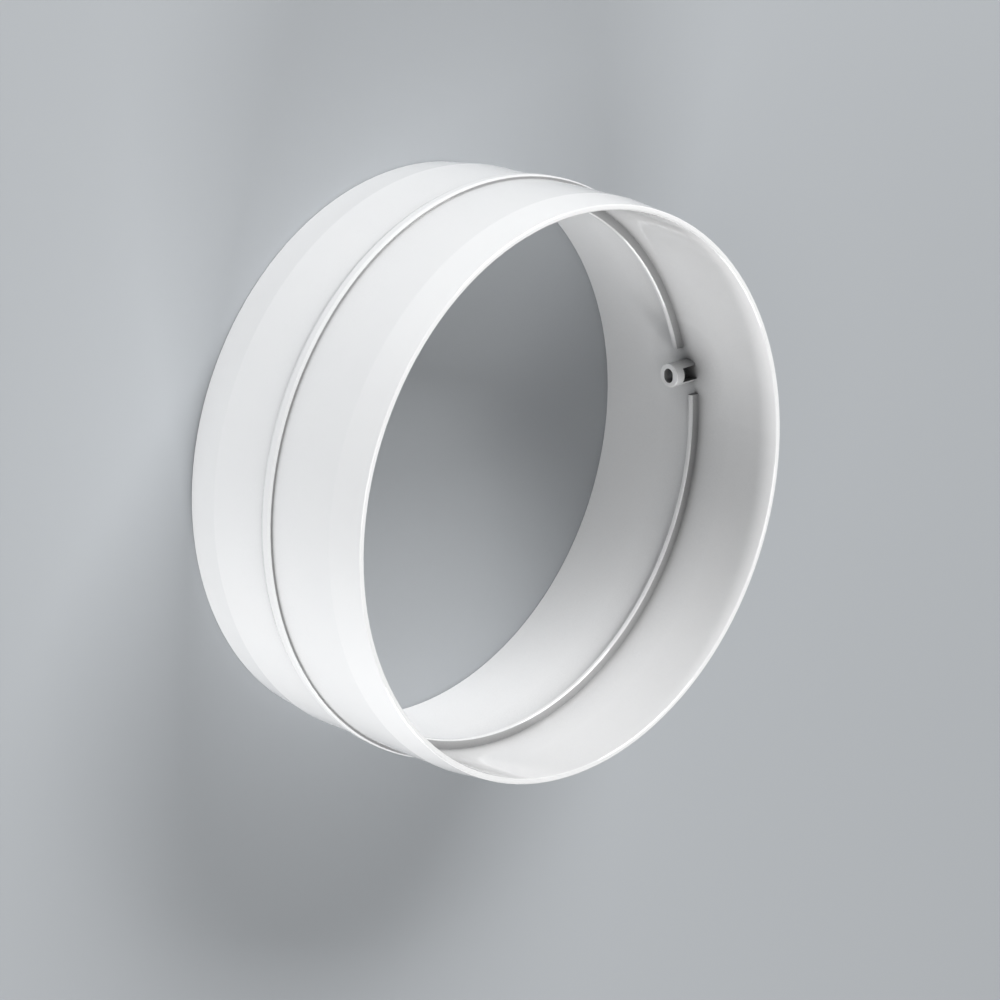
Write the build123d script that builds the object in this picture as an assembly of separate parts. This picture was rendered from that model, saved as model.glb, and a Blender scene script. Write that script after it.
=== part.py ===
from build123d import *
import math
import os

# A round duct connector: one moulded ring that joins two lengths of pipe.
# Outside it has a stop bead between two spigots. Inside it has a stepped
# seat and two bearings, for a flap that pivots on a pair of pins.
# Sizes are in millimetres. The ring's axis is Z, and the origin is the
# centre of its lower end. The pins' common axis runs along X, off the
# ring's centre towards +Y.

# Ring
spigot_diameter = 160.0
body_length = 66.0
end_wall = 1.5
lead_in_length = 10.5
lead_in_drop = 1.15
rim_chamfer = 0.3

# Stop bead: a low crest that slopes down to a square step on each side
bead_above_middle = 0.65
bead_width = 3.5
bead_height = 1.0
bead_step = 0.6
bead_slope_width = 0.9

# Flap seat: two arcs of one rib, one each side of the flap's slot
flap_above_middle = 0.4
flap_slot = 2.4
seat_height = 2.7
seat_width = 1.6
seat_chamfer = 0.35
pin_to_arc_end = 6.6

# Pin bearings
pin_axis_offset = 12.4
bearing_diameter = 6.8
bearing_reach = 8.5
bearing_collar_length = 3.0
bearing_tip_rounding = 0.3
pin_slot_length = 4.1
pin_slot_width = 3.3

# Radii, heights and places that follow from the sizes above
spigot_radius = spigot_diameter / 2
end_radius = spigot_radius - lead_in_drop
bore_radius = end_radius - end_wall
root_radius = (bore_radius + spigot_radius) / 2
crest_radius = bore_radius - seat_height
bead_radius = spigot_radius + bead_height
bead_step_radius = spigot_radius + bead_step
mid_height = body_length / 2
bead_top = mid_height + bead_above_middle
bead_bottom = bead_top - bead_width
flap_height = mid_height + flap_above_middle
lower_seat_top = flap_height - flap_slot / 2
upper_seat_bottom = flap_height + flap_slot / 2
bearing_radius = bearing_diameter / 2
bearing_tip = math.sqrt(bore_radius**2 - pin_axis_offset**2) - bearing_reach


def ring_wall():
    """Turn the wall's section, with both lead-ins and the stop bead, about Z."""
    outline = Polyline(
        (bore_radius, 0),
        (end_radius, 0),
        (spigot_radius, lead_in_length),
        (spigot_radius, bead_bottom),
        (bead_step_radius, bead_bottom),
        (bead_radius, bead_bottom + bead_slope_width),
        (bead_radius, bead_top - bead_slope_width),
        (bead_step_radius, bead_top),
        (spigot_radius, bead_top),
        (spigot_radius, body_length - lead_in_length),
        (end_radius, body_length),
        (bore_radius, body_length),
        close=True,
    )
    section = make_face(outline)
    by_height = section.vertices().group_by(Axis.Y)
    section = chamfer(by_height[0] + by_height[-1], rim_chamfer)
    return revolve(Plane.XZ * section, Axis.Z)


def seat_rib(bottom):
    """Turn the seat rib's section right round the bore, rooted inside the wall."""
    rib = Pos(crest_radius, bottom) * Rectangle(
        root_radius - crest_radius, seat_width, align=(Align.MIN, Align.MIN)
    )
    crest = rib.vertices().group_by(Axis.X)[0]
    rib = chamfer(crest, seat_chamfer)
    return revolve(Plane.XZ * rib, Axis.Z)


def flap_seat():
    """A low arc beyond the pins, and a high arc round the rest, both cut square to Y."""
    short_end = Plane((0, pin_axis_offset + pin_to_arc_end, 0), z_dir=(0, 1, 0))
    long_end = Plane((0, pin_axis_offset - pin_to_arc_end, 0), z_dir=(0, 1, 0))
    short_arc = split(seat_rib(lower_seat_top - seat_width), short_end, keep=Keep.TOP)
    long_arc = split(seat_rib(upper_seat_bottom), long_end, keep=Keep.BOTTOM)
    return short_arc + long_arc


def bearing():
    """A tube along X: a closed collar at its tip, and a channel open upwards behind it."""
    pin_axis = Plane((bearing_tip, pin_axis_offset, flap_height), x_dir=(0, 1, 0), z_dir=(1, 0, 0))
    to_outside = spigot_radius - bearing_tip
    tube = extrude(pin_axis * Circle(bearing_radius), to_outside)
    tip_edge = tube.edges().group_by(Axis.X)[0]
    tube = fillet(tip_edge, bearing_tip_rounding)
    tube = tube & Cylinder(root_radius, body_length, align=(Align.CENTER, Align.CENTER, Align.MIN))

    slot = SlotOverall(pin_slot_length, pin_slot_width)
    way_in = Rectangle(pin_slot_length, bearing_diameter, align=(Align.CENTER, Align.MIN))
    hole = extrude(pin_axis * slot, to_outside)
    channel = extrude(pin_axis.offset(bearing_collar_length) * (slot + way_in), to_outside)
    bore = Cylinder(bore_radius, body_length, align=(Align.CENTER, Align.CENTER, Align.MIN))
    pin_space = (hole + channel) & bore
    return tube - pin_space


def connector_body():
    """The whole ring, with one bearing and its mirror image across the YZ plane."""
    right_bearing = bearing()
    left_bearing = mirror(right_bearing, Plane.YZ)
    return ring_wall() + flap_seat() + right_bearing + left_bearing


os.makedirs("parts", exist_ok=True)
export_step(connector_body(), "parts/connector_body.step")
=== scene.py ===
# %% [markdown]
# # A round duct connector in white plastic
#
# The object is a short ring, 160 mm across and 66 mm long, that joins two
# round ducts. It is moulded in one piece: two spigots either side of a stop
# bead and, inside, a seat and two bearings for a flap on pins.
#
# The solid comes from CAD, and its shape is already right. What this lesson
# adds is what makes it look like the real thing: a moulded, glossy white
# plastic, a floor, soft studio light, and a camera.
#
# Everything is in metres, with Z along the ring's axis.

import math

import bmesh
import bpy
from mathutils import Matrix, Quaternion, Vector


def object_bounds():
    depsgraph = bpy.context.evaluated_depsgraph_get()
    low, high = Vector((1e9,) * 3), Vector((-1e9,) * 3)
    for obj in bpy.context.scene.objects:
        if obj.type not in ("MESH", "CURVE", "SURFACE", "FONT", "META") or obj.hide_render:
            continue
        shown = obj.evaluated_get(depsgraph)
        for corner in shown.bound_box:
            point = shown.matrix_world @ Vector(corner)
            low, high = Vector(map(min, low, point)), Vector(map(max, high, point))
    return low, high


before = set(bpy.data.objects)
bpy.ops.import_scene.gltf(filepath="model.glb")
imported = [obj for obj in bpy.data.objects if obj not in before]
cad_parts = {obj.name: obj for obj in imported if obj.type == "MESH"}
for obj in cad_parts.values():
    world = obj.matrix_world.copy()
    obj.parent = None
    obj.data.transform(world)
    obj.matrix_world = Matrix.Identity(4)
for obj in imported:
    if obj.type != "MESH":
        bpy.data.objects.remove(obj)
cad_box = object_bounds()
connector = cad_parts["connector_body"]
print("nodes:", sorted(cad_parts))

# %% [markdown]
# ## Measure before you dress
#
# A pattern has to be in scale with the thing it is on, and a lamp or a
# camera has to point at it. The ring's box says how large it is and where
# its middle is, and the lamps and the camera are placed from there.

# %% Measure the ring
low, high = cad_box
middle = (low + high) / 2
extent = high - low
print("ring: %.1f mm wide, %.1f mm tall" % (extent.x * 1000, extent.z * 1000))

# %% [markdown]
# ## Helpers for node materials
#
# A material is a small network of nodes. Each step in it is the same: make a
# node, set a few inputs, and link it to the next. An input takes either a
# constant or the output of another node, so one helper feeds both kinds, and
# the material itself then reads as a recipe.


# %% Node helpers
def feed(tree, value, socket):
    """Link an output to this input, or write a constant into it."""
    if isinstance(value, bpy.types.NodeSocket):
        tree.links.new(value, socket)
    else:
        socket.default_value = value


def add_node(tree, kind, settings=None, **inputs):
    """Add a node, set its properties, and feed its inputs by name."""
    node = tree.nodes.new(kind)
    for name, value in (settings or {}).items():
        setattr(node, name, value)
    for name, value in inputs.items():
        feed(tree, value, node.inputs[name.replace("_", " ")])
    return node


def new_material(name):
    """Start a material with an empty node tree and its output."""
    material = bpy.data.materials.new(name)
    material.use_nodes = True
    tree = material.node_tree
    tree.nodes.clear()
    return material, tree, tree.nodes.new("ShaderNodeOutputMaterial")


print("helpers: feed, add_node, new_material")

# %% [markdown]
# ## Three small tools for patterns
#
# An image could paint the unevenness of a moulding, but it would stretch
# round the ring. Noise on Object coordinates has no seam, and its size is
# given in metres, so it can be set to what the real surface shows. Two more
# tools work on its values: one stretches a range, the other does arithmetic.


# %% Pattern helpers
def noise(tree, size, detail):
    """Noise whose features have one size in metres on every side of the object."""
    place = add_node(tree, "ShaderNodeTexCoord").outputs["Object"]
    return add_node(tree, "ShaderNodeTexNoise", Vector=place, Scale=1 / size, Detail=detail).outputs["Fac"]


def stretch(tree, value, old_range, new_range):
    """Move a value from one range to another, and hold it at the ends."""
    node = add_node(tree, "ShaderNodeMapRange", Value=value)
    for socket, limit in zip(("From Min", "From Max", "To Min", "To Max"), old_range + new_range):
        node.inputs[socket].default_value = limit
    return node.outputs["Result"]


def calculate(tree, operation, first, second):
    """Combine two values, each a number or an output, with one Math node."""
    node = add_node(tree, "ShaderNodeMath", {"operation": operation})
    feed(tree, first, node.inputs[0])
    feed(tree, second, node.inputs[1])
    return node.outputs["Value"]


print("helpers: noise, stretch, calculate")

# %% [markdown]
# ## Moulded white plastic: the colour
#
# The real ring comes out of a polished mould, so it is glossy, but it isn't
# a perfect mirror. Four things are added to the plain white:
#
# - painted shade darkens corners and holes, where less light gets in,
# - the gloss is a little uneven, from the mould's own polish,
# - its edges are rounded by the mould, so each one catches a soft line of light,
# - the surface waves very slightly where the wall shrank as it cooled.
#
# The colour takes the first of them, as painted shade. An Ambient Occlusion node says how open
# each point is, and a power above 1 brings the painted shade out in the corners.

# %% Colour
TINT_LOW = (0.868, 0.868, 0.872, 1)
TINT_HIGH = (0.892, 0.892, 0.890, 1)
# Painted shade: its dark grey, how far from a corner it reaches, and how sharply it gathers there.
PAINTED_SHADE_COLOUR = (0.045, 0.045, 0.047, 1)
PAINTED_SHADE_REACH = 0.012
PAINTED_SHADE_POWER = 1.6


def plastic_colour_with_painted_shade(tree, patches):
    """A white whose tint varies a little, with painted shade darkening it into the corners."""
    tint = add_node(tree, "ShaderNodeMix", {"data_type": "RGBA"}, Factor=patches, A=TINT_LOW, B=TINT_HIGH)
    # Painted shade: ambient occlusion pulls the tint towards a dark grey in corners and holes.
    openness = add_node(
        tree, "ShaderNodeAmbientOcclusion", {"samples": 8, "only_local": True}, Distance=PAINTED_SHADE_REACH
    ).outputs["AO"]
    unshaded_share = calculate(tree, "POWER", openness, PAINTED_SHADE_POWER)
    tint_with_painted_shade = add_node(
        tree, "ShaderNodeMix", {"data_type": "RGBA"}, Factor=unshaded_share, A=PAINTED_SHADE_COLOUR, B=tint.outputs["Result"]
    )
    return tint_with_painted_shade.outputs["Result"]


print("corners darken within %.0f mm" % (PAINTED_SHADE_REACH * 1000))

# %% [markdown]
# ## Rounded edges, waves and grain
#
# These three change only the direction in which the surface seems to face.
# A Bevel node turns the shading normals near an edge and leaves the mesh as
# it is. Two Bump nodes follow it, one for the slow waves and one for the
# fine grain. Each takes the normal from the one before, so they add up.

# %% Normals
EDGE_ROUNDING = 0.0003
WAVE_SIZE = 0.030
WAVE_DEPTH = 0.00002
GRAIN_SIZE = 0.0009
GRAIN_DEPTH = 0.0000008


def plastic_normal(tree):
    """Normals with rounded edges, then waves, then grain."""
    normal = add_node(tree, "ShaderNodeBevel", {"samples": 6}, Radius=EDGE_ROUNDING).outputs["Normal"]
    for size, detail, depth in ((WAVE_SIZE, 1.0, WAVE_DEPTH), (GRAIN_SIZE, 2.0, GRAIN_DEPTH)):
        height = noise(tree, size, detail)
        bump = add_node(tree, "ShaderNodeBump", Height=height, Distance=depth, Normal=normal)
        normal = bump.outputs["Normal"]
    return normal


print("waves are %.0f mm apart, grain %.1f mm" % (WAVE_SIZE * 1000, GRAIN_SIZE * 1000))

# %% [markdown]
# ## Putting the plastic together
#
# One noise drives both the tint and the roughness, as on a real moulding,
# where a patch that is polished less also looks a little paler. Noise keeps
# near its middle, so only that part of its range is stretched. The index of
# refraction is the same everywhere and is written on the shader itself.

# %% White plastic
PATCH_SIZE = 0.012
PATCH_DETAIL = 4.0
PATCH_RANGE = (0.3, 0.7)
ROUGHNESS_RANGE = (0.03, 0.07)
PLASTIC_IOR = 1.5


def white_plastic():
    """A glossy white moulding."""
    material, tree, output = new_material("white_plastic")
    patches = noise(tree, PATCH_SIZE, PATCH_DETAIL)
    plastic = add_node(
        tree,
        "ShaderNodeBsdfPrincipled",
        Base_Color=plastic_colour_with_painted_shade(tree, patches),
        Roughness=stretch(tree, patches, PATCH_RANGE, ROUGHNESS_RANGE),
        Normal=plastic_normal(tree),
        IOR=PLASTIC_IOR,
    )
    tree.links.new(plastic.outputs["BSDF"], output.inputs["Surface"])
    return material


plastic = white_plastic()
for slot in connector.material_slots:
    slot.material = plastic
print("material:", plastic.name, "on", len(connector.material_slots), "slot")

# %% [markdown]
# ## The floor
#
# A white object needs something a little darker behind it, or its edge is
# lost. The floor is a plain pale grey disc, large enough that the camera
# never sees past it from above. Where it does end, far off, the world behind
# it is nearly the same grey, so there is no hard horizon.

# %% Floor
FLOOR_RADIUS = 5.0
FLOOR_SEGMENTS = 96
FLOOR_COLOUR = (0.42, 0.44, 0.46, 1)
MOTTLE_SIZE = 1 / 9
MOTTLE_DETAIL = 3.0
MOTTLE_RANGE = (0.0, 1.0)
FLOOR_ROUGHNESS_RANGE = (0.55, 0.65)


def floor_grey():
    """A matt grey, with a faint unevenness in its gloss."""
    material, tree, output = new_material("floor_grey")
    mottle = noise(tree, MOTTLE_SIZE, MOTTLE_DETAIL)
    roughness = stretch(tree, mottle, MOTTLE_RANGE, FLOOR_ROUGHNESS_RANGE)
    paint = add_node(tree, "ShaderNodeBsdfPrincipled", Base_Color=FLOOR_COLOUR, Roughness=roughness)
    tree.links.new(paint.outputs["BSDF"], output.inputs["Surface"])
    return material


def make_floor():
    """A flat disc under the ring."""
    mesh = bpy.data.meshes.new("floor")
    bm = bmesh.new()
    bmesh.ops.create_circle(bm, cap_ends=True, segments=FLOOR_SEGMENTS, radius=FLOOR_RADIUS)
    bm.to_mesh(mesh)
    bm.free()
    mesh.materials.append(floor_grey())
    floor = bpy.data.objects.new("floor", mesh)
    bpy.context.scene.collection.objects.link(floor)
    return floor


print("floor:", make_floor().name)

# %% [markdown]
# ## Soft light
#
# White on grey is all about tone. Each lamp is a soft panel with one job:
#
# - `key` stands on the +Y side, higher than the rim. It reaches over the rim
#   to the opposite curve of the bore, which is the brightest part inside.
# - `wall_card` is a long, low strip beside the ring. It lights the outside,
#   but it is too low to look far over the rim, so the inside stays darker. It
#   is kept out of the gloss, where it would draw a hard white line on the bead.
# - `front_lamp` faces the key from the -Y side. It lights the curve of the
#   bore beyond the pins and leaves the wall between in half shadow.
# - `top_lamp` is weak. It opens the shadows.
#
# None of them stands overhead, so faces that look straight up, such as the
# rim and the ledges of the seat, come out a little darker than the walls.


# %% Lamps
def soft_lamp(name, azimuth, elevation, distance, size, power):
    """A panel that faces the ring, placed by angles in degrees from X and the floor."""
    light = bpy.data.lights.new(name, "AREA")
    light.shape = "RECTANGLE"
    light.size, light.size_y = size
    light.energy = power
    lamp = bpy.data.objects.new(name, light)
    bpy.context.scene.collection.objects.link(lamp)
    turn, lift = math.radians(azimuth), math.radians(elevation)
    outwards = Vector((math.cos(turn) * math.cos(lift), math.sin(turn) * math.cos(lift), math.sin(lift)))
    lamp.location = middle + outwards * distance
    lamp.rotation_mode = "QUATERNION"
    lamp.rotation_quaternion = outwards.to_track_quat("Z", "Y")
    lamp.visible_camera = False
    return lamp


key = soft_lamp("key", azimuth=70, elevation=36, distance=1.6, size=(1.0, 0.7), power=27.5)
wall_card = soft_lamp("wall_card", azimuth=190, elevation=1.6, distance=3.0, size=(1.7, 0.16), power=45)
wall_card.visible_glossy = False
front_lamp = soft_lamp("front_lamp", azimuth=262, elevation=30, distance=1.6, size=(0.7, 0.7), power=16.5)
top_lamp = soft_lamp("top_lamp", azimuth=175, elevation=45, distance=1.6, size=(0.7, 0.7), power=4.5)
print("lamps:", [lamp.name for lamp in (key, wall_card, front_lamp, top_lamp)])

# %% [markdown]
# ## The world
#
# The world does two jobs here. To the object it is a weak, even light. To
# the camera it is a plain backdrop, nearly the floor's colour. A Light Path
# node tells the two apart. Glossy rays get the backdrop too, because a gloss
# that mirrors black makes white plastic look dirty.

# %% World
WORLD_LIGHT = 0.03
BACKDROP = (0.47, 0.49, 0.51, 1)


def make_world():
    """An even fill light, with a plain backdrop for camera, glossy and transmission rays."""
    world = bpy.data.worlds.new("studio")
    world.use_nodes = True
    tree = world.node_tree
    tree.nodes.clear()
    output = tree.nodes.new("ShaderNodeOutputWorld")
    fill = add_node(tree, "ShaderNodeBackground", Color=(1, 1, 1, 1), Strength=WORLD_LIGHT)
    backdrop = add_node(tree, "ShaderNodeBackground", Color=BACKDROP, Strength=1.0)
    path = add_node(tree, "ShaderNodeLightPath")
    seen = path.outputs["Is Camera Ray"]
    for ray in ("Is Glossy Ray", "Is Transmission Ray"):
        seen = calculate(tree, "MAXIMUM", seen, path.outputs[ray])
    mix = add_node(tree, "ShaderNodeMixShader", Fac=seen)
    tree.links.new(fill.outputs["Background"], mix.inputs[1])
    tree.links.new(backdrop.outputs["Background"], mix.inputs[2])
    tree.links.new(mix.outputs["Shader"], output.inputs["Surface"])
    bpy.context.scene.world = world
    return world


print("world:", make_world().name)

# %% [markdown]
# ## The camera
#
# The ring stands on its end, where it is steady. It is seen from above one
# side, through its opening and on to the seat and a bearing. The camera is
# also rolled, so the ring's axis lies across the picture. It aims a little
# off the ring's middle, which places the ring in the frame. At azimuth 0 it
# would look along +Y.

# %% Camera
CAMERA_AZIMUTH = -115.557
CAMERA_ELEVATION = 42.951
CAMERA_ROLL = 107.943
CAMERA_DISTANCE = 1.16471
AIM_FROM_MIDDLE = Vector((-0.00049, -0.00768, 0.00309))
LENS = 155.048
CLIP_START = 0.01


def make_camera():
    """A long lens, aimed by azimuth and elevation and then rolled about its own axis."""
    camera = bpy.data.objects.new("camera", bpy.data.cameras.new("camera"))
    bpy.context.scene.collection.objects.link(camera)
    camera.data.lens = LENS
    camera.data.clip_start = CLIP_START
    turn, lift = math.radians(CAMERA_AZIMUTH), math.radians(CAMERA_ELEVATION)
    back = Vector((math.sin(turn) * math.cos(lift), -math.cos(turn) * math.cos(lift), math.sin(lift)))
    camera.location = middle + AIM_FROM_MIDDLE + back * CAMERA_DISTANCE
    camera.rotation_mode = "QUATERNION"
    upright = (-back).to_track_quat("-Z", "Y")
    camera.rotation_quaternion = upright @ Quaternion((0, 0, 1), math.radians(CAMERA_ROLL))
    bpy.context.scene.camera = camera
    return camera


camera = make_camera()
print("camera at", [round(v, 3) for v in camera.location])

# %% [markdown]
# ## Finish
#
# The Standard view shows colours about as they are written.

# %% Finish
bpy.context.scene.view_settings.view_transform = "Standard"
